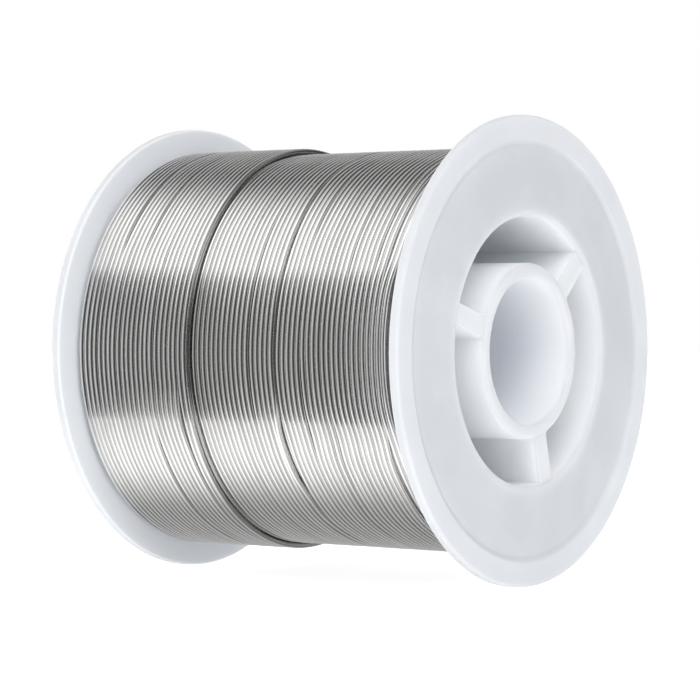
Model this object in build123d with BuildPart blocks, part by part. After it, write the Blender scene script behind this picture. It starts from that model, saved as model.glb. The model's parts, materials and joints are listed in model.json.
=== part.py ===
from build123d import *
import math
import os

# Solder wire spool: two moulded halves pushed together at mid-length, wound with flux-cored
# solder wire. The spool axis is X, the origin is the middle of the axis, +Z is up and the
# free end of the wire lies on the +Y side. Millimetres. Angles round the axis are measured
# from +Y towards +Z. The near half has its flange at +X, the far half at -X.

# spool
half_length = 28.7
flange_radius = 31.5
flange_thickness = 1.4
flange_edge_round = 0.3
recess_depth = 0.4
rim_inner_radius = 28.1
rim_slope = 0.3
face_top_radius = 19.0
opening_round = 0.3
barrel_outer_radius = 19.5
barrel_inner_radius = 18.0
hub_outer_radius = 11.8
bore_radius = 9.8
hub_end_round = 0.3
rib_count = 3
first_rib_angle = 44
rib_thickness = 2.9
rib_setback = 0.35
rib_edge_round = 0.25
wall_overlap = 0.6
cut_overlap = 1.0
tolerance = 0.01

# joint between the halves: the near half's spigots and pins enter the far half
spigot_length = 3.0
barrel_spigot_radius = 18.7
hub_spigot_radius = 10.7
joint_gap = 0.05
joint_end_gap = 0.1
rib_pin_radius = 0.8
rib_pin_length = 4.0
rib_pin_place = 14.9
rib_pin_chamfer = 0.3

# wire
wire_radius = 0.4
turn_pitch = 0.8125
top_layer_radius = 26.95
top_layer_runs = 3
turns_per_run = 22
last_layer_radius = 27.77
last_layer_turns = 23
buried_inner_radius = 19.55
buried_outer_radius = 26.53
buried_width = 54.4

# flux core, modelled where the wire is cut
flux_hole_radius = 0.15
flux_radius = 0.14
flux_hole_depth = 1.0
flux_length = 0.98

# free end of the wire: short links, each hinged on the one before
tail_start_x = -8.1
tail_start_angle = 60
tail_links = 5
link_angle = 16
ball_radius = 0.37
cup_radius = 0.42

# first end of the wire, passed through the near half's barrel
entry_x = 26.3
entry_angle = 220
entry_hole_radius = 0.8
entry_run_radius = 16.9
entry_bend = 1.0
entry_run_length = 9.0

inner_face = half_length - flange_thickness
recess_face = half_length - recess_depth
rib_end = half_length - rib_setback
socket_depth = spigot_length + joint_end_gap


def round_axis(radius, angle, x=0.0):
    """The point at this radius and angle round the spool axis."""
    turned = math.radians(angle)
    return Vector(x, radius * math.cos(turned), radius * math.sin(turned))


def flange_and_barrel(side, mouth):
    """Add a flange and its half of the barrel, whose outline at mid-length is the mouth.
    The flange face is recessed inside the rim and rises in a shallow cone to the opening."""
    with BuildSketch(Plane.XY) as outline:
        with BuildLine():
            Polyline(
                *mouth,
                (side * inner_face, barrel_outer_radius),
                (side * inner_face, flange_radius),
                (side * half_length, flange_radius),
                (side * half_length, rim_inner_radius),
                (side * recess_face, rim_inner_radius - rim_slope),
                (side * half_length, face_top_radius),
                (side * half_length, barrel_inner_radius),
                close=True,
            )
        make_face()
        fillet(outline.vertices().group_by(Axis.Y)[-1], flange_edge_round)
        opening_edge = (side * half_length, barrel_inner_radius, 0)
        fillet(outline.vertices().sort_by_distance(opening_edge)[0], opening_round)
    revolve(outline.sketch, axis=Axis.X)


def hub_tube(side, mouth):
    """Add half of the hub tube, whose outline at mid-length is the mouth."""
    with BuildSketch(Plane.XY) as outline:
        with BuildLine():
            Polyline(
                *mouth,
                (side * half_length, hub_outer_radius),
                (side * half_length, bore_radius),
                close=True,
            )
        make_face()
        end = outline.vertices().sort_by(Axis((0, 0, 0), (side, 0, 0)))[-2:]
        fillet(end, hub_end_round)
    revolve(outline.sketch, axis=Axis.X)


def ribs(side):
    """Add the ribs that carry the hub tube inside the barrel, with eased end edges."""
    inner = hub_outer_radius - wall_overlap
    outer = barrel_inner_radius + wall_overlap
    with BuildSketch(Plane.YZ) as outline:
        with PolarLocations((inner + outer) / 2, rib_count, first_rib_angle):
            Rectangle(outer - inner, rib_thickness)
    extrude(outline.sketch, amount=side * rib_end)


def rib_end_edges(half, side):
    """The long edges of the rib ends that show in the flange."""
    straight = half.edges().filter_by(GeomType.LINE)
    end = side * rib_end
    return straight.filter_by_position(Axis.X, end - tolerance, end + tolerance)


def rib_pin_circles(radius):
    """Sketch one circle on the middle of every rib."""
    with PolarLocations(rib_pin_place, rib_count, first_rib_angle):
        Circle(radius)


def wound_wire(radius, start_x, start_angle, turns, lefthand=False):
    """A length of wire wound round the spool axis, running towards +X from its start."""
    with BuildPart() as wound:
        with BuildLine() as centre_line:
            Helix(turn_pitch, turn_pitch * turns, radius, lefthand=lefthand)
        with BuildSketch(Plane(origin=centre_line.line @ 0, z_dir=centre_line.line % 0)):
            Circle(wire_radius)
        sweep(is_frenet=True)
    start = Plane(origin=(start_x, 0, 0), x_dir=round_axis(1, start_angle), z_dir=(1, 0, 0))
    return start.location * wound.part


def link_start(number):
    """The hinge centre of this link of the free end, on the wire's centre line."""
    turned = (number - 1) * link_angle
    x = tail_start_x + turn_pitch * turned / 360
    return round_axis(last_layer_radius, tail_start_angle - turned, x)


with BuildPart() as near_spool_half:
    flange_and_barrel(1, [
        (-spigot_length, barrel_inner_radius),
        (-spigot_length, barrel_spigot_radius),
        (0, barrel_spigot_radius),
        (0, barrel_outer_radius),
    ])
    hub_tube(1, [
        (-spigot_length, bore_radius),
        (-spigot_length, hub_spigot_radius),
        (0, hub_spigot_radius),
        (0, hub_outer_radius),
    ])
    ribs(1)
    fillet(rib_end_edges(near_spool_half, 1), rib_edge_round)
    with BuildSketch(Plane.YZ):
        rib_pin_circles(rib_pin_radius)
    extrude(amount=-rib_pin_length)
    pin_tips = near_spool_half.edges().filter_by(GeomType.CIRCLE).group_by(Axis.X)[0]
    chamfer(pin_tips, rib_pin_chamfer)
    entry_plane = Plane(
        origin=round_axis(barrel_inner_radius - cut_overlap, entry_angle, entry_x),
        z_dir=round_axis(1, entry_angle),
    )
    with BuildSketch(entry_plane):
        Circle(entry_hole_radius)
    wall_thickness = barrel_outer_radius - barrel_inner_radius
    extrude(amount=wall_thickness + 2 * cut_overlap, mode=Mode.SUBTRACT)

with BuildPart() as far_spool_half:
    flange_and_barrel(-1, [
        (-socket_depth, barrel_inner_radius),
        (-socket_depth, barrel_spigot_radius + joint_gap),
        (0, barrel_spigot_radius + joint_gap),
        (0, barrel_outer_radius),
    ])
    hub_tube(-1, [
        (-socket_depth, bore_radius),
        (-socket_depth, hub_spigot_radius + joint_gap),
        (0, hub_spigot_radius + joint_gap),
        (0, hub_outer_radius),
    ])
    ribs(-1)
    fillet(rib_end_edges(far_spool_half, -1), rib_edge_round)
    # the near half's barrel spigot passes outside the rib ends
    with BuildSketch(Plane.YZ):
        Circle(barrel_spigot_radius + joint_gap)
        Circle(barrel_inner_radius - joint_gap, mode=Mode.SUBTRACT)
    extrude(amount=-socket_depth, mode=Mode.SUBTRACT)
    with BuildSketch(Plane.YZ):
        rib_pin_circles(rib_pin_radius + joint_gap)
    extrude(amount=-(rib_pin_length + joint_end_gap), mode=Mode.SUBTRACT)

# the buried layers, as one sleeve
with BuildPart() as wire_inner_layers:
    with BuildSketch(Plane.YZ):
        Circle(buried_outer_radius)
        Circle(buried_inner_radius, mode=Mode.SUBTRACT)
    extrude(amount=buried_width / 2, both=True)

# the last full layer, wound in equal runs that meet end to end
with BuildPart() as wire_top_layer:
    run_length = turns_per_run * turn_pitch
    for run in range(top_layer_runs):
        run_start = (run - top_layer_runs / 2) * run_length
        add(wound_wire(top_layer_radius, run_start, tail_start_angle, turns_per_run))

# the last layer stops part-way along, where the free end leaves it
with BuildPart() as wire_last_layer:
    last_start = tail_start_x - last_layer_turns * turn_pitch
    add(wound_wire(last_layer_radius, last_start, tail_start_angle, last_layer_turns, True))
    with Locations(link_start(1)):
        Sphere(ball_radius)

# first end of the wire: in through the barrel wall, then along the inside of the barrel
with BuildPart() as wire_start_end:
    with BuildLine() as entry_path:
        Polyline(
            round_axis(barrel_outer_radius, entry_angle, entry_x),
            round_axis(entry_run_radius, entry_angle, entry_x),
            round_axis(entry_run_radius, entry_angle, entry_x - entry_run_length),
        )
        corner = entry_path.vertices().sort_by_distance(
            round_axis(entry_run_radius, entry_angle, entry_x)
        )[0]
        fillet(corner, entry_bend)
    with BuildSketch(Plane(origin=entry_path.line @ 0, z_dir=entry_path.line % 0)):
        Circle(wire_radius)
    sweep()
    start_tip = Plane(wire_start_end.faces().sort_by(Axis.X)[0])
    with BuildSketch(start_tip):
        Circle(flux_hole_radius)
    extrude(amount=-flux_hole_depth, mode=Mode.SUBTRACT)

with BuildPart() as flux_core_start:
    with BuildSketch(start_tip):
        Circle(flux_radius)
    extrude(amount=-flux_length)

# free end of the wire: a ball on one link sits in a cup in the next
tail = []
for number in range(1, tail_links + 1):
    with BuildPart() as link:
        turned = (number - 1) * link_angle
        start = link_start(number)
        add(
            wound_wire(
                last_layer_radius,
                start.X,
                tail_start_angle - turned,
                link_angle / 360,
                True,
            )
        )
        with Locations(start):
            Sphere(cup_radius, mode=Mode.SUBTRACT)
        end = link_start(number + 1)
        if number < tail_links:
            with Locations(end):
                Sphere(ball_radius)
        else:
            free_tip = Plane(link.faces().sort_by_distance(end)[0])
            with BuildSketch(free_tip):
                Circle(flux_hole_radius)
            extrude(amount=-flux_hole_depth, mode=Mode.SUBTRACT)
    tail.append(link)

with BuildPart() as flux_core_tip:
    with BuildSketch(free_tip):
        Circle(flux_radius)
    extrude(amount=-flux_length)

os.makedirs("parts", exist_ok=True)
near_spool_half.part.label = "near_spool_half"
export_step(near_spool_half.part, "parts/near_spool_half.step")
far_spool_half.part.label = "far_spool_half"
export_step(far_spool_half.part, "parts/far_spool_half.step")
wire_inner_layers.part.label = "wire_inner_layers"
export_step(wire_inner_layers.part, "parts/wire_inner_layers.step")
wire_top_layer.part.label = "wire_top_layer"
export_step(wire_top_layer.part, "parts/wire_top_layer.step")
wire_last_layer.part.label = "wire_last_layer"
export_step(wire_last_layer.part, "parts/wire_last_layer.step")
wire_start_end.part.label = "wire_start_end"
export_step(wire_start_end.part, "parts/wire_start_end.step")
flux_core_start.part.label = "flux_core_start"
export_step(flux_core_start.part, "parts/flux_core_start.step")
flux_core_tip.part.label = "flux_core_tip"
export_step(flux_core_tip.part, "parts/flux_core_tip.step")
for number, link in enumerate(tail, start=1):
    link.part.label = f"wire_tail_{number}"
    export_step(link.part, f"parts/wire_tail_{number}.step")
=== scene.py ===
import json
import math

import bmesh
import bpy
import numpy as np
from mathutils import Matrix, Vector

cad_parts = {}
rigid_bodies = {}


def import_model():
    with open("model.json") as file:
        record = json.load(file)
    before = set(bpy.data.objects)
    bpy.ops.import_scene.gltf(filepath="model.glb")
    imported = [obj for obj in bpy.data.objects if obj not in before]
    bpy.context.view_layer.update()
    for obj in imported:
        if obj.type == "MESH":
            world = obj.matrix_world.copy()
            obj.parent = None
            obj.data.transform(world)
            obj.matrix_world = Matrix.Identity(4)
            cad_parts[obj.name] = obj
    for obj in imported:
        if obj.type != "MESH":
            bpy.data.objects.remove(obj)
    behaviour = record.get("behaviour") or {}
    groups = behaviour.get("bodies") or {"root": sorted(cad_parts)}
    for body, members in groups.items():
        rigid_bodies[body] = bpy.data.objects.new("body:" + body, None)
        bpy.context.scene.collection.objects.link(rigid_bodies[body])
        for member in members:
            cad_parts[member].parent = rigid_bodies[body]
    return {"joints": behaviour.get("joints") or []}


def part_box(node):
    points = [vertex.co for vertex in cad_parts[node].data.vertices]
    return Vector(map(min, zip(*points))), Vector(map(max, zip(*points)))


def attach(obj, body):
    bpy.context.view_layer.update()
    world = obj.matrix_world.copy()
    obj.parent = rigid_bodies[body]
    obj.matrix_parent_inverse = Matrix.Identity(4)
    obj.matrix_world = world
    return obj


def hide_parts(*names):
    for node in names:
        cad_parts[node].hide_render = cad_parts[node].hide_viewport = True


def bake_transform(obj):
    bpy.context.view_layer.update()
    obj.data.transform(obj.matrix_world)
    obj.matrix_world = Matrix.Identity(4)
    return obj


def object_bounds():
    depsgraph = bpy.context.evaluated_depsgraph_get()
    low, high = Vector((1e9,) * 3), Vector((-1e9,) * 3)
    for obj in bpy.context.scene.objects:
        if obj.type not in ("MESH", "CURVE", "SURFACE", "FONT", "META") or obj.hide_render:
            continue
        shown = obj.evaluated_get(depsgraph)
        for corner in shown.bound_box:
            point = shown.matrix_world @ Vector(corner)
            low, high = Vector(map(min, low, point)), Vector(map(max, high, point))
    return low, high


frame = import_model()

CAD_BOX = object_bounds()
MM = 0.001

# Sizes in millimetres, in the row frame: the spool axis is X, +Z is up, and angles round the
# axis run from +Y towards +Z. Those that the frame knows are read from it.

# spool
HALF_LENGTH = CAD_BOX[1].x / MM
FLANGE_RADIUS = CAD_BOX[1].z / MM
FLANGE_THICKNESS = 1.4
RECESS_DEPTH = 0.4
RIM_INNER = 28.2
RIM_FOOT = 27.55
CONE_TOP = 19.0
BARREL_OUTER = 19.5
BARREL_INNER = 18.0
HUB_OUTER = 11.8
BORE = 9.8
RIB_THICKNESS = 2.9
RIB_SETBACK = 0.35
RIB_ANGLES = (44, 164, 284)

# joint between the halves: the near half's spigots enter the far half
SPIGOT_LENGTH = 3.0
BARREL_SPIGOT = 18.7
HUB_SPIGOT = 10.7
JOINT_GAP = 0.05
JOINT_END_GAP = 0.1
PARTING_GAP = 0.02
RIB_GAP = 0.03

# wire: drawn a little thinner than its nominal radius, which leaves slack for loose turns
WIRE_RADIUS = 0.4
DRAWN_RADIUS = 0.978 * WIRE_RADIUS
TURN_PITCH = 0.8125
CLOSE_PITCH = 2 * DRAWN_RADIUS
TOP_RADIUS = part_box("wire_top_layer")[1].z / MM - WIRE_RADIUS
TOP_TURNS = 66
LAST_TURNS = 23
ENTRY_X = 26.3
ENTRY_ANGLE = 220
ENTRY_HOLE_RADIUS = 0.8

# free end of the wire: links hinged one on the next, from the last layer's first hinge
LINKS = len(frame["joints"])
FIRST_HINGE = next(joint for joint in frame["joints"] if joint["parent"] == "spool")
TAIL_X, HINGE_Y, HINGE_Z = (place / MM for place in FIRST_HINGE["pos_m"])
LAST_RADIUS = math.hypot(HINGE_Y, HINGE_Z)
TAIL_ANGLE = math.degrees(math.atan2(HINGE_Z, HINGE_Y))
LINK_ANGLE = FIRST_HINGE["range_deg"][1]

# how finely round shapes are drawn
ROUND_STEPS = 5
FLANGE_SEGMENTS = 240
HUB_SEGMENTS = 160
BURIED_SEGMENTS = 144
STEPS_PER_TURN = 150
WIRE_SIDES = 14

# Where turns lie apart: place along the axis, the elevations on the front (-Y) side between
# which the gap is open, and how wide it is. Millimetres and degrees.
LOOSE_FULL_LAYER = (
    (-7.7, 84, -84, 0.28),
    (5.7, 80, -80, 0.42),
    (1.8, 44, -18, 0.16),
    (9.2, 66, 34, 0.15),
    (10.4, 0, -28, 0.18),
    (13.8, -20, -64, 0.12),
    (16.5, 70, 20, 0.10),
    (20.6, 66, 24, 0.16),
    (22.3, 64, 22, 0.26),
    (22.3, -28, -60, 0.36),
    (23.6, 22, -20, 0.46),
)
LOOSE_PART_LAYER = (
    (-21.2, 80, 34, 0.46),
    (-17.4, 70, 34, 0.30),
    (-14.4, -26, -84, 0.44),
    (-9.0, -16, -62, 0.34),
    (-26.0, 30, -20, 0.10),
)


# ---------------------------------------------------------------- meshes

def mesh_object(name, points, faces, body, material, sharp):
    """A closed mesh piece from points in millimetres, smooth except at edges over the
    sharp angle in degrees."""
    mesh = bpy.data.meshes.new(name)
    mesh.from_pydata([tuple(point) for point in np.asarray(points, float) * MM], [], faces)
    obj = bpy.data.objects.new(name, mesh)
    bpy.context.scene.collection.objects.link(obj)
    tidy_normals(mesh, math.radians(sharp))
    mesh.materials.append(material)
    if body:
        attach(obj, body)
    return obj


def tidy_normals(mesh, sharp):
    """Point every face outwards, then shade smooth with edges over the sharp angle kept crisp."""
    work = bmesh.new()
    work.from_mesh(mesh)
    bmesh.ops.recalc_face_normals(work, faces=work.faces)
    for face in work.faces:
        face.smooth = True
    for edge in work.edges:
        edge.smooth = len(edge.link_faces) == 2 and edge.calc_face_angle(0.0) < sharp
    work.to_mesh(mesh)
    work.free()


def round_axis(radius, angle, x):
    """Points at these radii and angles (radians) round the spool axis."""
    radius, angle, x = np.broadcast_arrays(radius, angle, x)
    return np.stack([x, radius * np.cos(angle), radius * np.sin(angle)], -1)


def rounded(corners):
    """A closed outline from (x, r, rounding) corners. A corner with no rounding stays square."""
    outline = []
    for i, (x, r, rounding) in enumerate(corners):
        corner = np.array([x, r], float)
        if rounding == 0:
            outline.append(corner)
            continue
        before = np.array(corners[i - 1][:2], float) - corner
        after = np.array(corners[(i + 1) % len(corners)][:2], float) - corner
        before /= np.linalg.norm(before)
        after /= np.linalg.norm(after)
        half_angle = math.acos(np.clip(before @ after, -1, 1)) / 2
        back = rounding / math.tan(half_angle)
        middle = (before + after) / np.linalg.norm(before + after)
        centre = corner + middle * rounding / math.sin(half_angle)
        first = corner + before * back - centre
        last = corner + after * back - centre
        sweep = math.atan2(first[0] * last[1] - first[1] * last[0], first @ last)
        for k in range(ROUND_STEPS + 1):
            turn = sweep * k / ROUND_STEPS
            c, s = math.cos(turn), math.sin(turn)
            outline.append(centre + np.array([c * first[0] - s * first[1], s * first[0] + c * first[1]]))
    return outline


def lathe(outline, segments):
    """Points and faces of a closed outline of (x, r) turned round the X axis."""
    points, faces = [], []
    n = len(outline)
    for k in range(segments):
        angle = 2 * math.pi * k / segments
        points += [(x, r * math.cos(angle), r * math.sin(angle)) for x, r in outline]
    for k in range(segments):
        here, there = k * n, (k + 1) % segments * n
        for i in range(n):
            j = (i + 1) % n
            faces.append((here + i, here + j, there + j, there + i))
    return points, faces


def bmesh_from(points, faces):
    """A bmesh of these points and faces."""
    work = bmesh.new()
    verts = [work.verts.new(point) for point in points]
    for face in faces:
        work.faces.new([verts[i] for i in face])
    return work


def prism(outline, x0, x1, bevel):
    """A bmesh prism of a (y, z) outline between x0 and x1, its x1 end edges bevelled."""
    n = len(outline)
    points = [(x, y, z) for x in (x0, x1) for y, z in outline]
    faces = [tuple(range(n)), tuple(range(2 * n - 1, n - 1, -1))]
    faces += [(i, n + i, n + (i + 1) % n, (i + 1) % n) for i in range(n)]
    work = bmesh_from(points, faces)
    work.faces.ensure_lookup_table()
    end_edges = list(work.faces[1].edges)
    bmesh.ops.bevel(work, geom=end_edges, offset=bevel, segments=3, affect="EDGES", profile=0.5)
    return work


def radial_pin(angle, x, pin_radius, inner, outer):
    """A bmesh round pin that points away from the spool axis at this angle in degrees."""
    sides = 32
    turned = math.radians(angle)
    points = []
    for r in (inner, outer):
        for k in range(sides):
            t = 2 * math.pi * k / sides
            aside = pin_radius * math.sin(t)
            points.append((
                x + pin_radius * math.cos(t),
                r * math.cos(turned) - aside * math.sin(turned),
                r * math.sin(turned) + aside * math.cos(turned),
            ))
    faces = [(k, (k + 1) % sides, sides + (k + 1) % sides, sides + k) for k in range(sides)]
    faces += [tuple(range(sides)), tuple(range(sides, 2 * sides))]
    return bmesh_from(points, faces)


def scratch_object(name, work):
    """An object made from a bmesh, in millimetres, for a boolean."""
    mesh = bpy.data.meshes.new(name)
    bmesh.ops.recalc_face_normals(work, faces=work.faces)
    work.to_mesh(mesh)
    work.free()
    obj = bpy.data.objects.new(name, mesh)
    bpy.context.scene.collection.objects.link(obj)
    return obj


def combine(base, other, operation):
    """Boolean the other object into the base and remove it."""
    modifier = base.modifiers.new("combine", "BOOLEAN")
    modifier.operation = operation
    modifier.solver = "EXACT"
    modifier.object = other
    depsgraph = bpy.context.evaluated_depsgraph_get()
    mesh = bpy.data.meshes.new_from_object(base.evaluated_get(depsgraph))
    base.modifiers.clear()
    base.data = mesh
    bpy.data.objects.remove(other)


# ---------------------------------------------------------------- spool halves

def rib_outline(angle):
    """A rib's section across the axis: straight sides that flare where it meets each wall.
    The flares start a little inside the walls, and the rib's feet lie well inside them."""
    flare, sunk, foot_depth, foot_spread = 0.7, 0.35, 0.9, 0.25
    half = RIB_THICKNESS / 2
    foot = half + flare + foot_spread
    quarter_turn = np.linspace(0, math.pi / 2, 12)
    side = [(HUB_OUTER - foot_depth, foot)]
    for turn in quarter_turn:
        r = HUB_OUTER + flare * (1 - math.cos(turn)) - sunk
        side.append((r, half + flare * (1 - math.sin(turn))))
    for turn in quarter_turn:
        r = BARREL_INNER - flare * (1 - math.sin(turn)) + sunk
        side.append((r, half + flare * (1 - math.cos(turn))))
    side.append((BARREL_INNER + foot_depth, foot))
    loop = side + [(r, -aside) for r, aside in reversed(side)]
    c, s = math.cos(math.radians(angle)), math.sin(math.radians(angle))
    return [(r * c - aside * s, r * s + aside * c) for r, aside in loop]


def mouth(near, inner, spigot, outer):
    """Corners of a tube's end at mid-length: a spigot on the near half, and the counterbore
    that takes it on the far half."""
    lip = 0.12
    if near:
        return [
            (-SPIGOT_LENGTH, inner, lip),
            (-SPIGOT_LENGTH, spigot, lip),
            (0, spigot, 0),
            (PARTING_GAP, outer, lip),
        ]
    depth = SPIGOT_LENGTH + JOINT_END_GAP
    return [
        (depth, inner, lip),
        (depth, spigot + JOINT_GAP, 0),
        (0, spigot + JOINT_GAP, 0),
        (PARTING_GAP, outer, lip),
    ]


def spool_half(name, side, node, material):
    """One moulded half: flange, barrel, hub tube and ribs. side is +1 for the near half, which
    also has the wire's entry hole, and -1 for the far half."""
    near = side > 0
    inner_face = HALF_LENGTH - FLANGE_THICKNESS
    flange = mouth(near, BARREL_INNER, BARREL_SPIGOT, BARREL_OUTER) + [
        (inner_face, BARREL_OUTER, 0.4),
        (inner_face, FLANGE_RADIUS, 0.35),
        (HALF_LENGTH, FLANGE_RADIUS, 0.42),
        (HALF_LENGTH, RIM_INNER, 0.5),
        (HALF_LENGTH - RECESS_DEPTH, RIM_FOOT, 0.8),
        (HALF_LENGTH, CONE_TOP, 3.0),
        (HALF_LENGTH, BARREL_INNER, 0.8),
    ]
    hub = mouth(near, BORE, HUB_SPIGOT, HUB_OUTER) + [
        (HALF_LENGTH, HUB_OUTER, 0.75),
        (HALF_LENGTH, BORE, 0.7),
    ]

    def turned(corners, segments):
        return bmesh_from(*lathe([(side * x, r) for x, r in rounded(corners)], segments))

    base = scratch_object(name, turned(flange, FLANGE_SEGMENTS))
    combine(base, scratch_object("hub", turned(hub, HUB_SEGMENTS)), "UNION")
    rib_start = RIB_GAP if near else 0.0
    for angle in RIB_ANGLES:
        rib = prism(rib_outline(angle), rib_start, HALF_LENGTH - RIB_SETBACK, bevel=0.2)
        bmesh.ops.scale(rib, vec=(side, 1, 1), verts=rib.verts)
        combine(base, scratch_object("rib", rib), "UNION")
    if near:
        hole = radial_pin(ENTRY_ANGLE, ENTRY_X, ENTRY_HOLE_RADIUS, BARREL_INNER - 1, BARREL_OUTER + 1)
        combine(base, scratch_object("entry_hole", hole), "DIFFERENCE")
    points = [tuple(vertex.co) for vertex in base.data.vertices]
    faces = [tuple(polygon.vertices) for polygon in base.data.polygons]
    bpy.data.objects.remove(base)
    obj = mesh_object(name, points, faces, "spool", material, 40)
    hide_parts(node)
    weighted = obj.modifiers.new("weighted_normals", "WEIGHTED_NORMAL")
    weighted.keep_sharp = True


# ---------------------------------------------------------------- wire

def ease(t):
    """A smooth step from 0 to 1."""
    return t * t * (3 - 2 * t)


def smooth_noise(rng, count, spacing):
    """A smooth random curve from -1 to 1 over count steps, with knots this far apart."""
    knots = np.arange(0, count + 2 * spacing, spacing)
    values = rng.uniform(-1, 1, len(knots))

    def curve(u):
        k = np.clip((u / spacing).astype(int), 0, len(knots) - 2)
        t = ease(u / spacing - k)
        return values[k] * (1 - t) + values[k + 1] * t

    return curve


def uneven_lift(rng, turns, u, spacing):
    """How far a wound wire lies off its layer's radius: slow waves and a fine ripple."""
    ripple_spacing, ripple_height, wave_height = 0.021, 0.007, 0.010
    ripple = smooth_noise(rng, turns, ripple_spacing)(u)
    return smooth_noise(rng, turns, spacing)(u) * wave_height + ripple * ripple_height


def tube(name, centres, outward, along, body, material, node, pinch=0.0):
    """A closed wire: a ring of points round each centre, in the plane of outward and X.
    along is the distance down the wire; pinch flattens the last cut end."""
    count = len(centres)
    ring = np.linspace(0, 2 * math.pi, WIRE_SIDES, endpoint=False)
    tangent = np.gradient(centres, axis=0)
    tangent /= np.linalg.norm(tangent, axis=1)[:, None]
    across = np.cross(tangent, outward)
    across /= np.linalg.norm(across, axis=1)[:, None]
    up = np.cross(across, tangent)
    pinch_length = 0.7
    near_cut = np.clip(1 - (along[-1] - along) / pinch_length, 0, 1)
    squeeze = 1 - pinch * near_cut ** 1.5
    height = (DRAWN_RADIUS * squeeze)[:, None, None] * np.cos(ring)[None, :, None]
    width = (DRAWN_RADIUS / np.sqrt(squeeze))[:, None, None] * np.sin(ring)[None, :, None]
    points = centres[:, None, :] + height * up[:, None, :] + width * across[:, None, :]
    i = np.arange(count - 1)[:, None] * WIRE_SIDES
    j = np.arange(WIRE_SIDES)[None, :]
    k = (j + 1) % WIRE_SIDES
    quads = np.stack(np.broadcast_arrays(i + j, i + k, i + WIRE_SIDES + k, i + WIRE_SIDES + j), -1)
    faces = [tuple(quad) for quad in quads.reshape(-1, 4).tolist()]
    faces.append(tuple(range(WIRE_SIDES - 1, -1, -1)))
    faces.append(tuple(range((count - 1) * WIRE_SIDES, count * WIRE_SIDES)))
    obj = mesh_object(name, points.reshape(-1, 3), faces, body, material, 60)
    # place on the wire, for its material: round the section, and along in millimetres
    coords = np.empty((count, WIRE_SIDES, 3), np.float32)
    coords[:, :, 0] = np.cos(ring)[None, :]
    coords[:, :, 1] = np.sin(ring)[None, :]
    coords[:, :, 2] = along[:, None]
    attribute = obj.data.attributes.new("wire_coord", "FLOAT_VECTOR", "POINT")
    attribute.data.foreach_set("vector", coords.ravel())
    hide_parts(node)
    return obj


def front_elevation(u):
    """Elevation in degrees on the front side, by turns wound, whole turns left out."""
    return 180 - (TAIL_ANGLE + 360 * (u % 1))


def wound_places(rng, turns, towards, start, loose):
    """Turns wound and distance along the axis from the start of a winding, at each point.
    Each turn lies against the one before, apart by a little slack: some everywhere, more at
    the loose places. towards is +1 or -1, the way the winding runs along the axis."""
    wander_spacing, least_gap, even_share = 0.23, 0.35, 0.3
    loose_reach, opens_over = 0.42, 14.0
    whole = turns - 1
    share = np.arange(STEPS_PER_TURN) / STEPS_PER_TURN
    elevation = front_elevation(share)
    turn = np.arange(whole)[:, None] + share[None, :]
    place = start + towards * TURN_PITCH * turn
    wander = smooth_noise(rng, turns, wander_spacing)(turn.ravel()).reshape(whole, -1)
    gap = least_gap + wander ** 3
    slack = turns * (TURN_PITCH - CLOSE_PITCH)
    gap *= even_share * slack / gap.sum(axis=0).mean()
    for middle, top, bottom, width in loose:
        across = np.exp(-((place - middle) / loose_reach) ** 4)
        below_top = np.clip((top - elevation) / opens_over + 0.5, 0, 1)
        above_bottom = np.clip((elevation - bottom) / opens_over + 0.5, 0, 1)
        gap = gap + width * across * ease(below_top * above_bottom)[None, :]
    gap *= slack / gap.sum(axis=0)
    first = (CLOSE_PITCH + gap[0, 0]) * share
    x = np.vstack([first, first + np.cumsum(CLOSE_PITCH + gap, axis=0)]).ravel()
    return np.arange(len(x)) / STEPS_PER_TURN, x


def top_layer(material):
    """The last full layer, wound right-handed towards +X, loose in a few places."""
    rng = np.random.RandomState(11)
    start = -TOP_TURNS * TURN_PITCH / 2
    u, x = wound_places(rng, TOP_TURNS, 1, start, LOOSE_FULL_LAYER)
    x = start + x
    # one turn strays into the widest gap and back
    stray_x, stray_elevation, stray_reach, stray_by = 5.9, -31, 13, 0.46
    stray_turn = np.searchsorted(x, stray_x) // STEPS_PER_TURN
    stray = np.exp(-((front_elevation(u) - stray_elevation) / stray_reach) ** 4)
    x = x - stray_by * stray * (np.floor(u) == stray_turn)
    bedded = 0.012
    lift = uneven_lift(rng, TOP_TURNS, u, 0.43) - bedded
    angle = math.radians(TAIL_ANGLE) + 2 * math.pi * u
    tube(
        "wire_turns_full_layer", round_axis(TOP_RADIUS + lift, angle, x), round_axis(1.0, angle, 0.0),
        u * 2 * math.pi * TOP_RADIUS, "spool", material, "wire_top_layer",
    )


def last_layer_path(v, x, lift=0.0):
    """Centres, outward directions and distances of the last layer's wire, by turns back from
    the first hinge of the free end and by distance along the axis from it."""
    angle = math.radians(TAIL_ANGLE) + 2 * math.pi * v
    centres = round_axis(LAST_RADIUS + lift, angle, TAIL_X - x)
    return centres, round_axis(1.0, angle, 0.0), -v * 2 * math.pi * LAST_RADIUS


def last_layer(material):
    """The part layer, from the far flange to the first hinge, less half a link. It starts
    close wound, as the free end does, and eases into its own places over half a turn."""
    rng = np.random.RandomState(5)
    v, x = wound_places(rng, LAST_TURNS, -1, TAIL_X, LOOSE_PART_LAYER)
    half_link = LINK_ANGLE / 2 / 360
    keep = v > half_link
    v = np.concatenate([[half_link], v[keep]])
    x = np.concatenate([[CLOSE_PITCH * half_link], x[keep]])
    own = np.clip((v - half_link) / 0.5, 0, 1)
    x = CLOSE_PITCH * v * (1 - own) + x * own
    lift = uneven_lift(rng, LAST_TURNS, v, 0.4) * own
    path = [values[::-1] for values in last_layer_path(v, x, lift)]
    tube("wire_turns_part_layer", *path, "spool", material, "wire_last_layer")


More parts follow.
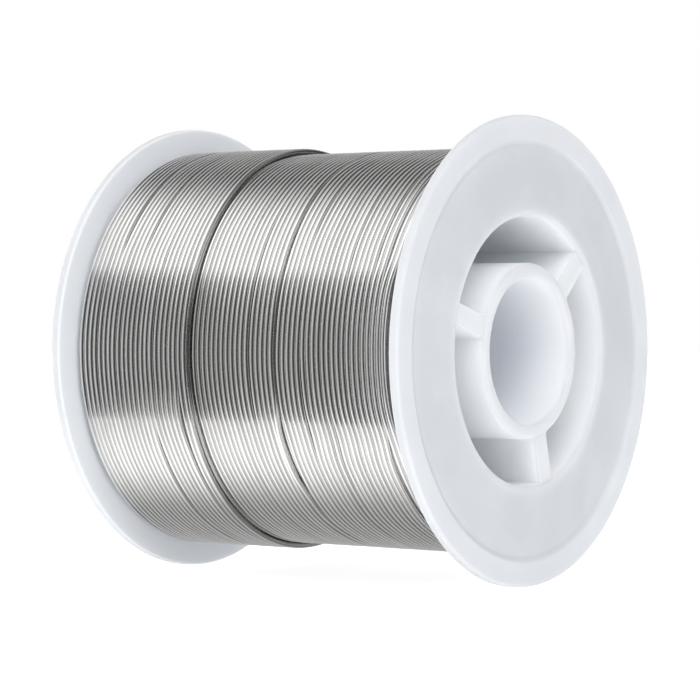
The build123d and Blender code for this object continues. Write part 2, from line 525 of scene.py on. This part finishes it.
def free_end(material):
    """The free end of the wire: each piece spans one hinge, from mid-link to mid-link, and
    the last one runs on to the cut. Gives the cut's place and the way the wire points there."""
    link = LINK_ANGLE / 360
    bend_reach = 0.38
    for k in range(LINKS):
        runs_on = k == LINKS - 1
        last = LINKS if runs_on else k + 0.5
        v = -link * np.linspace(k - 0.5, last, 52 if runs_on else 28)
        obj = tube(
            f"wire_free_end_{k + 1}", *last_layer_path(v, CLOSE_PITCH * v), None, material,
            f"wire_tail_{k + 1}", pinch=0.22 if runs_on else 0.0,
        )
        bend = -link * np.array([k - bend_reach, k + bend_reach])
        start, end = last_layer_path(bend, CLOSE_PITCH * bend)[0] * MM
        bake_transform(obj)
    cut = -link * np.array([LINKS, LINKS - 0.02])
    tip, before = last_layer_path(cut, CLOSE_PITCH * cut)[0]
    return tip, tip - before


def first_end(material):
    """The wire's first end: in through the barrel wall, then along the inside of the barrel.
    Gives the cut's place and the way the wire points there."""
    run_radius, bend, run_length = 16.9, 1.2, 7.8
    bow, bow_turn, sway_angle, sway_length = 0.25, 3.1, 4, 9.0
    inwards = [(r, ENTRY_X) for r in np.linspace(BARREL_OUTER, run_radius + bend, 5)]
    corner = [
        (run_radius + bend * (1 - math.sin(t)), ENTRY_X - bend * (1 - math.cos(t)))
        for t in np.linspace(0, math.pi / 2, 10)[1:]
    ]
    run = [
        (run_radius + bow * math.sin(t * bow_turn) * t, ENTRY_X - bend - run_length * t)
        for t in np.linspace(0, 1, 22)[1:]
    ]
    radius, x = np.array(inwards + corner + run).T
    angle = math.radians(ENTRY_ANGLE)
    sway = np.clip((ENTRY_X - x) / sway_length, 0, 1) ** 2 * math.radians(sway_angle)
    centres = round_axis(radius, angle + sway, x)
    steps = np.linalg.norm(np.diff(centres, axis=0), axis=1)
    along = np.concatenate([[0], np.cumsum(steps)])
    tangent = np.gradient(centres, axis=0)
    aside = np.array([0, -math.sin(angle), math.cos(angle)])
    outward = np.cross(np.broadcast_to(aside, tangent.shape), tangent)
    tube("wire_first_end", centres, outward, along, "spool", material, "wire_start_end", pinch=0.2)
    return centres[-1], centres[-1] - centres[-2]


def buried_layers(material):
    """The layer under the top one, seen in the gaps, over the bulk of the winding."""
    ridge_radius, ridge_centre, ridge_points = 0.39, TOP_RADIUS - 0.82, 6
    shoulder = TOP_RADIUS - 1.09
    inner = BARREL_OUTER + 0.06
    half_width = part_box("wire_inner_layers")[1].x / MM
    outline = []
    for i in range(int(2 * half_width / TURN_PITCH)):
        centre = -half_width + TURN_PITCH * (i + 0.5)
        for k in range(ridge_points):
            t = math.pi * (k + 0.5) / ridge_points
            outline.append((centre - ridge_radius * math.cos(t), ridge_centre + ridge_radius * math.sin(t)))
    outline += [(half_width, shoulder), (half_width, inner), (-half_width, inner), (-half_width, shoulder)]
    points, faces = lathe(outline, BURIED_SEGMENTS)
    obj = mesh_object("wire_buried_layers", points, faces, "spool", material, 50)
    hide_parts("wire_inner_layers")


def flux_plug(name, tip, direction, body, material, node):
    """Flux showing in a cut end: a shallow dome that stands just proud of the cut."""
    radius, rise, depth, sides = 0.15, 0.035, 0.6, 16
    rings = [(-depth, radius * 0.9), (0.0, radius)]
    rings += [(rise * math.sin(t), radius * math.cos(t)) for t in np.linspace(0.2, 1.3, 4)]
    points = [(-depth, 0, 0)]
    for x, r in rings:
        for k in range(sides):
            angle = 2 * math.pi * k / sides
            points.append((x, r * math.cos(angle), r * math.sin(angle)))
    points.append((rise, 0, 0))
    foot, top, last_ring = 0, len(points) - 1, 1 + (len(rings) - 1) * sides
    faces = []
    for k in range(sides):
        m = (k + 1) % sides
        for ring in range(1, last_ring, sides):
            faces.append((ring + k, ring + m, ring + sides + m, ring + sides + k))
        faces.append((foot, 1 + m, 1 + k))
        faces.append((top, last_ring + k, last_ring + m))
    turn = Vector(direction).normalized().to_track_quat("X", "Z").to_matrix()
    placed = [Vector(tip) + turn @ Vector(point) for point in points]
    obj = mesh_object(name, placed, faces, body, material, 50)
    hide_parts(node)


# ---------------------------------------------------------------- materials

class Graph:
    """A short way to write a node tree. Colours are (r, g, b, 1)."""

    def __init__(self, tree):
        self.tree = tree
        tree.nodes.clear()

    def add(self, kind, settings=None, **inputs):
        """A node with these inputs, whose names have _ for a space."""
        node = self.tree.nodes.new("ShaderNode" + kind)
        for key, value in (settings or {}).items():
            setattr(node, key, value)
        for key, value in inputs.items():
            self.feed(node.inputs[key.replace("_", " ")], value)
        return node

    def feed(self, socket, value):
        if isinstance(value, bpy.types.NodeSocket):
            self.tree.links.new(value, socket)
        else:
            socket.default_value = value

    def math(self, operation, *values):
        node = self.add("Math", {"operation": operation})
        for socket, value in zip(node.inputs, values):
            self.feed(socket, value)
        return node.outputs[0]

    def product(self, first, *others):
        for other in others:
            first = self.math("MULTIPLY", first, other)
        return first

    def smooth(self, value, low, high, to_low=0.0, to_high=1.0):
        """A smooth step from to_low, where the value is low, to to_high, where it is high."""
        node = self.add("MapRange", {"interpolation_type": "SMOOTHSTEP"}, Value=value)
        for key, number in (("From Min", low), ("From Max", high), ("To Min", to_low), ("To Max", to_high)):
            self.feed(node.inputs[key], number)
        return node.outputs[0]

    def band(self, value, rising, falling):
        """1 between a rising and a falling step, each given as where it is 0 and where it is 1."""
        return self.product(self.smooth(value, *rising), self.smooth(value, *falling))

    def mix(self, share, a, b):
        """A colour between a and b."""
        node = self.add("Mix", {"data_type": "RGBA"})
        for socket, value in zip((node.inputs[0], node.inputs[6], node.inputs[7]), (share, a, b)):
            self.feed(socket, value)
        return node.outputs[2]

    def choose(self, share, a, b):
        """A number between a and b."""
        node = self.add("Mix", {"data_type": "FLOAT"})
        for socket, value in zip((node.inputs[0], node.inputs[2], node.inputs[3]), (share, a, b)):
            self.feed(socket, value)
        return node.outputs[0]

    def noise(self, vector, scale, detail=2.0, roughness=0.5):
        node = self.add("TexNoise", None, Vector=vector, Scale=scale, Detail=detail, Roughness=roughness)
        return node.outputs[0]

    def combine(self, x, y, z):
        return self.add("CombineXYZ", None, X=x, Y=y, Z=z).outputs[0]

    def stretched(self, *pairs):
        """A vector whose three parts are each a value times a scale."""
        return self.combine(*(self.product(value, scale) for value, scale in pairs))

    def split(self, vector):
        return self.add("SeparateXYZ", None, Vector=vector).outputs

    def surface(self, tint, rough, relief, bump_strength, **inputs):
        """The material's surface, its relief given in millimetres."""
        bump = self.add("Bump", None, Strength=bump_strength, Distance=1.0, Height=self.product(relief, MM))
        shader = self.add(
            "BsdfPrincipled", None, Base_Color=tint, Roughness=rough, Normal=bump.outputs[0], **inputs
        )
        self.add("OutputMaterial", None, Surface=shader.outputs[0])


def new_material(name):
    material = bpy.data.materials.new(name)
    material.use_nodes = True
    return material, Graph(material.node_tree)


def millimetres(graph):
    """Place in the row frame in millimetres, and its x, distance from the axis and angle."""
    place = graph.add("TexCoord").outputs["Object"]
    scaled = graph.add("VectorMath", {"operation": "SCALE"}, Vector=place, Scale=1 / MM).outputs[0]
    x, y, z = graph.split(scaled)
    radius = graph.math("SQRT", graph.math("ADD", graph.product(y, y), graph.product(z, z)))
    return scaled, x, radius, graph.math("ARCTAN2", z, y)


def spool_plastic():
    """Moulded translucent white polypropylene. The thin web over the dark winding reads greyer
    than the thick rim. The walls inside are painted whiter than both, and the flanges' inner
    faces lighter than the rim, as painted light; the bore darkens deeper in as painted shade.
    Each zone fades into the next by its radius and by its depth below the end face."""
    rim_tone, painted_light_back_tone = (0.65, 0.665, 0.69, 1), (0.81, 0.83, 0.86, 1)
    painted_light_wall_tone, painted_shade_bore_tone = (0.905, 0.925, 0.965, 1), (0.74, 0.76, 0.80, 1)
    web_tone, cloud_tone = (0.565, 0.585, 0.62, 1), (0.80, 0.825, 0.86, 1)
    flow_tone, speck_tone = (0.93, 0.935, 0.94, 1), (0.62, 0.62, 0.62, 1)
    material, graph = new_material("spool_plastic")
    place, x, radius, angle = millimetres(graph)
    depth = graph.math("SUBTRACT", HALF_LENGTH, graph.math("ABSOLUTE", x))

    # painted light: the flanges' inner faces are tinted lighter than the rim
    back = graph.smooth(depth, FLANGE_THICKNESS - 0.4, FLANGE_THICKNESS - 0.05)
    tint = graph.mix(back, rim_tone, painted_light_back_tone)
    # painted light: the walls inside the mouth are tinted whiter, for the light reaching the pockets
    inside = graph.product(graph.smooth(radius, CONE_TOP, BARREL_INNER - 0.2), graph.smooth(depth, 0.15, 0.9))
    tint = graph.mix(inside, tint, painted_light_wall_tone)
    # painted shade: the bore's tint darkens deeper in
    painted_shade_in_bore = graph.smooth(radius, BORE + 1.2, BORE + 0.6)
    tint = graph.mix(graph.product(painted_shade_in_bore, graph.smooth(depth, 2.0, 11.0, 0.0, 0.7)), tint, painted_shade_bore_tone)
    web = graph.band(radius, (BARREL_INNER - 0.4, CONE_TOP + 1.2), (RIM_INNER + 0.6, RIM_INNER - 1.0))
    tint = graph.mix(graph.product(web, graph.smooth(depth, 0.9, 0.2)), tint, web_tone)

    cloud = graph.noise(place, 0.09, 3.0)
    tint = graph.mix(graph.smooth(cloud, 0.35, 0.7, 0.0, 0.12), tint, cloud_tone)
    flow = graph.noise(graph.stretched((radius, 0.05), (angle, 1.1), (x, 1.0)), 2.0, 3.0)
    tint = graph.mix(graph.smooth(flow, 0.4, 0.75, 0.0, 0.10), tint, flow_tone)
    specks = graph.noise(place, 1.6, 1.0)
    tint = graph.mix(graph.smooth(specks, 0.74, 0.80, 0.0, 0.1), tint, speck_tone)

    grain = graph.noise(place, 9.0, 3.0, 0.6)
    polish = graph.noise(place, 0.35, 2.0)
    scuffs = graph.noise(graph.stretched((radius, 3.0), (angle, 2.2), (x, 0.4)), 1.3, 4.0, 0.7)
    rough = graph.math("ADD", graph.smooth(polish, 0.3, 0.7, 0.30, 0.42), graph.product(grain, 0.08))
    relief = graph.math("ADD", graph.product(grain, 0.004), graph.product(scuffs, 0.003))
    graph.surface(
        tint, rough, relief, bump_strength=0.35, IOR=1.49, Subsurface_Weight=0.6,
        Subsurface_Radius=(1.0, 1.04, 1.1), Subsurface_Scale=1.5 * MM,
    )
    return material


def solder():
    """Bright drawn solder wire: mirror-like, with fine lines along it and a little tarnish."""
    bright, dull = (0.91, 0.905, 0.895, 1), (0.81, 0.805, 0.795, 1)
    tarnish, line_tone, nick_tone = (0.70, 0.695, 0.685, 1), (0.66, 0.655, 0.65, 1), (0.5, 0.49, 0.48, 1)
    material, graph = new_material("solder")
    wire = graph.add("Attribute", {"attribute_name": "wire_coord"}).outputs["Vector"]
    c, s, along = graph.split(wire)
    patches = graph.noise(graph.stretched((c, 1.0), (s, 1.0), (along, 0.09)), 1.0, 2.0)
    strand = graph.noise(graph.combine(0.5, 0.5, graph.product(along, 0.006)), 1.0, 2.0)
    lines = graph.noise(graph.stretched((c, 9.0), (s, 9.0), (along, 0.12)), 1.0, 3.0, 0.65)
    nicks = graph.noise(graph.stretched((c, 3.0), (s, 3.0), (along, 2.4)), 1.0, 2.0, 0.6)
    tint = graph.mix(graph.smooth(patches, 0.35, 0.7), bright, dull)
    tint = graph.mix(graph.smooth(strand, 0.42, 0.68, 0.0, 0.45), tint, tarnish)
    tint = graph.mix(graph.smooth(lines, 0.5, 0.8, 0.0, 0.5), tint, line_tone)
    tint = graph.mix(graph.smooth(nicks, 0.66, 0.78, 0.0, 0.6), tint, nick_tone)
    rough = graph.math(
        "ADD", graph.smooth(patches, 0.3, 0.75, 0.10, 0.18), graph.smooth(nicks, 0.55, 0.8, 0.0, 0.16)
    )
    relief = graph.math("ADD", graph.product(lines, 0.006), graph.product(nicks, 0.010))
    graph.surface(tint, rough, relief, bump_strength=0.5, Metallic=1.0)
    return material


def flux():
    """Amber rosin, slightly cloudy."""
    material, graph = new_material("flux")
    cloud = graph.noise(millimetres(graph)[0], 6.0, 3.0)
    tint = graph.mix(cloud, (0.72, 0.42, 0.08, 1), (0.86, 0.62, 0.22, 1))
    graph.surface(
        tint, graph.smooth(cloud, 0.3, 0.7, 0.15, 0.35), graph.product(cloud, 0.02), bump_strength=0.4,
        Subsurface_Weight=0.3, Subsurface_Scale=0.2 * MM,
    )
    return material


# ---------------------------------------------------------------- studio

# What only reflections see, by the angle round the spool axis in degrees: 0 straight in front,
# 90 overhead, 180 straight behind. Each has a rising and a falling edge.
SOFTBOX = ((37, 45), (107, 69))
REAR_LIGHT = ((118, 124), (146, 142))
REAR_POWER = 0.25
DIM_OVERHEAD = ((80, 100), (170, 120))
DIMMING = 0.1

# The floor, by distance from the point under the middle of the spool.
FLOOR_LIT = 56 * MM
FLOOR_SHADE = 30 * MM
FLOOR_END = 170 * MM
FLOOR_RADIUS = 2400 * MM


def wall_level(graph, slope):
    """How bright a reflection of the studio walls is, by the ray's slope along the axis."""
    return graph.smooth(slope, 0.35, -0.55, 0.055, 0.54)


def towards_far(graph, slope):
    """The lights reach further towards the far end: dimmer for rays that lean to the near end."""
    return graph.smooth(slope, 0.45, -0.15, 0.45, 1.0)


def reflected_studio(graph, x, y, z):
    """What reflections see in this direction: a long softbox in front and above, a smaller
    light behind, and dimmer walls."""
    turn = graph.product(graph.math("ARCTAN2", z, graph.product(y, -1.0)), 180 / math.pi)
    softbox = graph.product(graph.band(turn, *SOFTBOX), towards_far(graph, x))
    rear = graph.product(graph.band(turn, *REAR_LIGHT), graph.smooth(x, 0.1, 0.3), REAR_POWER)
    overhead = graph.product(graph.band(turn, *DIM_OVERHEAD), DIMMING)
    wall = graph.product(wall_level(graph, x), graph.math("SUBTRACT", 1.0, overhead))
    return graph.math("ADD", wall, graph.math("ADD", softbox, rear))


def soft_studio(graph, direction, x, y):
    """Soft light on everything else: most from the front and above, some from behind, and less
    straight on to the near end face than aslant into its pockets."""
    brightest = (0.35, -0.6, 0.72)
    towards_brightest = graph.add("VectorMath", {"operation": "DOT_PRODUCT"}, Vector=direction)
    graph.feed(towards_brightest.inputs[1], brightest)
    front = graph.smooth(towards_brightest.outputs["Value"], -1.0, 1.0, 0.40, 0.84)
    far_end = graph.smooth(x, -0.3, -0.7, 0.0, 0.64)
    behind = graph.smooth(y, 0.2, 0.8, 0.0, 0.75)
    around = graph.math("MAXIMUM", front, graph.math("MAXIMUM", far_end, behind))
    return graph.product(around, graph.smooth(x, 0.55, 0.9, 1.0, 0.42))


def studio_world():
    """White to the camera, with its own levels for reflections and for soft light."""
    world = bpy.data.worlds.new("studio")
    bpy.context.scene.world = world
    world.use_nodes = True
    graph = Graph(world.node_tree)
    ray = graph.add("LightPath").outputs
    direction = graph.add("TexCoord").outputs["Generated"]
    x, y, z = graph.split(direction)
    soft = soft_studio(graph, direction, x, y)
    level = graph.choose(ray["Is Glossy Ray"], soft, reflected_studio(graph, x, y, z))
    shown = graph.choose(ray["Is Camera Ray"], level, 1.0)
    background = graph.add("Background", None, Color=(1, 1, 1, 1), Strength=shown)
    graph.add("OutputWorld", None, Surface=background.outputs[0])


def soft_light(name, direction, power):
    """A soft area light aimed at the spool, not seen in reflections."""
    distance, size = 700 * MM, 500 * MM
    data = bpy.data.lights.new(name, "AREA")
    data.shape = "DISK"
    data.size = size
    data.energy = power
    light = bpy.data.objects.new(name, data)
    place = Vector(direction).normalized() * distance
    light.location = place
    light.rotation_euler = place.to_track_quat("Z", "Y").to_euler()
    light.visible_glossy = False
    light.visible_camera = False
    bpy.context.scene.collection.objects.link(light)


def floor_material():
    """Plain and pale to the camera. Reflections see a floor lit round the spool, with the
    spool's own shade in the middle, and dim further off."""
    material, graph = new_material("floor")
    ray = graph.add("LightPath").outputs
    x, y = graph.split(graph.add("TexCoord").outputs["Object"])[:2]
    incoming = graph.split(graph.add("NewGeometry").outputs["Incoming"])[0]
    slope = graph.product(incoming, -1.0)
    along, aside = graph.math("ABSOLUTE", x), graph.math("ABSOLUTE", y)
    lit = graph.product(
        graph.smooth(aside, FLOOR_LIT * 0.95, FLOOR_LIT * 1.06, 1.0, 0.0),
        graph.smooth(along, FLOOR_END * 0.7, FLOOR_END, 1.0, 0.0),
        graph.smooth(aside, FLOOR_SHADE * 0.47, FLOOR_SHADE * 1.03, 0.28, 1.0),
        graph.smooth(aside, FLOOR_LIT * 0.92, FLOOR_LIT * 0.6, 1.1, 1.42),
        towards_far(graph, slope),
    )
    mirrored = graph.math("MAXIMUM", lit, wall_level(graph, slope))
    # light thrown up at the end faces from the floor beyond them, and more for the camera
    thrown = graph.product(
        graph.smooth(along, 10 * MM, 50 * MM, 0.45, 0.9),
        graph.smooth(along, 90 * MM, 220 * MM, 1.0, 0.55),
    )
    glow = graph.math("ADD", thrown, graph.product(ray["Is Camera Ray"], 0.45))
    emission = graph.add("Emission", None, Strength=graph.choose(ray["Is Glossy Ray"], glow, mirrored))
    # the camera sees only a faint shadow, and reflections see none
    tone = graph.product(
        graph.math("SUBTRACT", 0.78, graph.product(ray["Is Camera Ray"], 0.5)),
        graph.math("SUBTRACT", 1.0, ray["Is Glossy Ray"]),
    )
    diffuse = graph.add("BsdfDiffuse", None, Color=graph.combine(tone, tone, tone))
    both = graph.add("AddShader")
    graph.feed(both.inputs[0], diffuse.outputs[0])
    graph.feed(both.inputs[1], emission.outputs[0])
    graph.add("OutputMaterial", None, Surface=both.outputs[0])
    return material


def studio_floor():
    """A round floor that the spool's flanges stand on."""
    work = bmesh.new()
    bmesh.ops.create_circle(work, cap_ends=True, segments=96, radius=FLOOR_RADIUS)
    mesh = bpy.data.meshes.new("floor")
    work.to_mesh(mesh)
    work.free()
    mesh.materials.append(floor_material())
    floor = bpy.data.objects.new("floor", mesh)
    floor.location = (0, 0, CAD_BOX[0].z)
    bpy.context.scene.collection.objects.link(floor)


def photo_camera():
    """The camera at the photograph's viewing angle and framing."""
    azimuth, elevation, roll = (math.radians(angle) for angle in (35.693, 0.7, 0.174))
    distance, lens, sensor = 390.2, 143.63, 36
    aim = Vector((-1.134, 0.0, -0.122))
    level = Vector((math.cos(azimuth), math.sin(azimuth), 0))
    outward = Vector((math.sin(azimuth), -math.cos(azimuth), 0))
    back = outward * math.cos(elevation) + Vector((0, 0, math.sin(elevation)))
    up = back.cross(level)
    right = level * math.cos(roll) + up * math.sin(roll)
    top = up * math.cos(roll) - level * math.sin(roll)
    data = bpy.data.cameras.new("camera")
    data.lens = lens
    data.sensor_width = sensor
    data.clip_start = 0.01
    camera = bpy.data.objects.new("camera", data)
    place = Matrix.Translation((aim + back * distance) * MM)
    camera.matrix_world = place @ Matrix((right, top, back)).transposed().to_4x4()
    bpy.context.scene.collection.objects.link(camera)
    bpy.context.scene.camera = camera


# ---------------------------------------------------------------- the spool

plastic = spool_plastic()
metal = solder()
amber = flux()

spool_half("spool_half_near", 1, "near_spool_half", plastic)
spool_half("spool_half_far", -1, "far_spool_half", plastic)
buried_layers(metal)
top_layer(metal)
last_layer(metal)
flux_plug("flux_free_end", *free_end(metal), f"tail_{LINKS}", amber, "flux_core_tip")
flux_plug("flux_first_end", *first_end(metal), "spool", amber, "flux_core_start")

studio_world()
studio_floor()
soft_light("key_light", (0.55, -0.4, 0.73), 1.8)
soft_light("back_light", (-0.7, 0.2, 0.6), 0.9)
photo_camera()
bpy.context.scene.view_settings.view_transform = "Standard"
